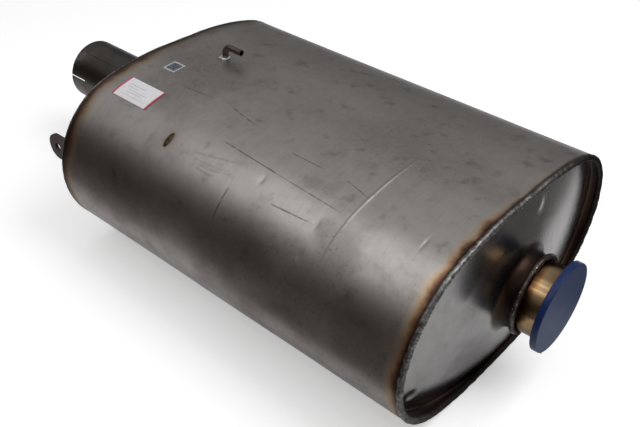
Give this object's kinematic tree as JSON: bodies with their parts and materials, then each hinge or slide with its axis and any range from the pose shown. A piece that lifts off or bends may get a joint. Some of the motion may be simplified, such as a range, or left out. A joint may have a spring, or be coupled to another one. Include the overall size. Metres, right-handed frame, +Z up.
{
  "type": "exhaust silencer",
  "caption": "Oval stainless exhaust silencer with an inlet socket, an outlet stub under a push-in cap, a hanger lug and a pressure tap, over baffled chambers.",
  "frame": {"origin": "middle of the flat underside, half way between the two rims of the shell", "axes": "+X along the pipes towards the outlet, +Y away from the side of the lug, +Z up"},
  "size_m": [0.958, 0.5, 0.308],
  "materials": {
    "shell_sheet": "satin rolled stainless sheet, scratched",
    "end_plate_sheet": "half-bright stainless sheet",
    "rim_weld": "rippled bead with a brown edge",
    "heat_tinted_pipe": "straw and gold heat tint",
    "pipe_weld": "rippled dark bead",
    "socket_pipe": "dull brown-grey tube",
    "inner_sheet": "plain mill finish",
    "lug_plate": "plain mill finish",
    "small_weld": "small bright bead",
    "tap_tube": "drawn tube",
    "plug_weld": "brown scaled weld",
    "cap_plastic": "moulded soft plastic, dusty",
    "label_paper": "bare paper-faced film"
  },
  "bodies": {
    "silencer": {"shell": "shell_sheet", "outlet_end_plate": "end_plate_sheet", "inlet_end_plate": "end_plate_sheet", "outlet_rim_weld": "rim_weld", "inlet_rim_weld": "rim_weld", "outlet_pipe": "heat_tinted_pipe", "outlet_pipe_weld": "pipe_weld", "inlet_pipe": "socket_pipe", "inlet_pipe_weld": "pipe_weld", "outlet_perforated_tube": "inner_sheet", "inlet_perforated_tube": "inner_sheet", "outlet_baffle": "inner_sheet", "middle_baffle": "inner_sheet", "inlet_baffle": "inner_sheet", "near_transfer_tube": "inner_sheet", "far_transfer_tube": "inner_sheet", "hanger_lug": "lug_plate", "hanger_lug_weld": "small_weld", "pressure_tap": "tap_tube", "pressure_tap_weld": "small_weld", "plug_weld": "plug_weld", "label": "label_paper", "data_sticker": "label_paper"},
    "cap": {"outlet_cap": "cap_plastic"}
  },
  "joints": [
    {"name": "cap_pull", "type": "slide", "parent": "silencer", "child": "cap", "axis": [1, 0, 0], "range_m": [0, 0.2]}
  ]
}
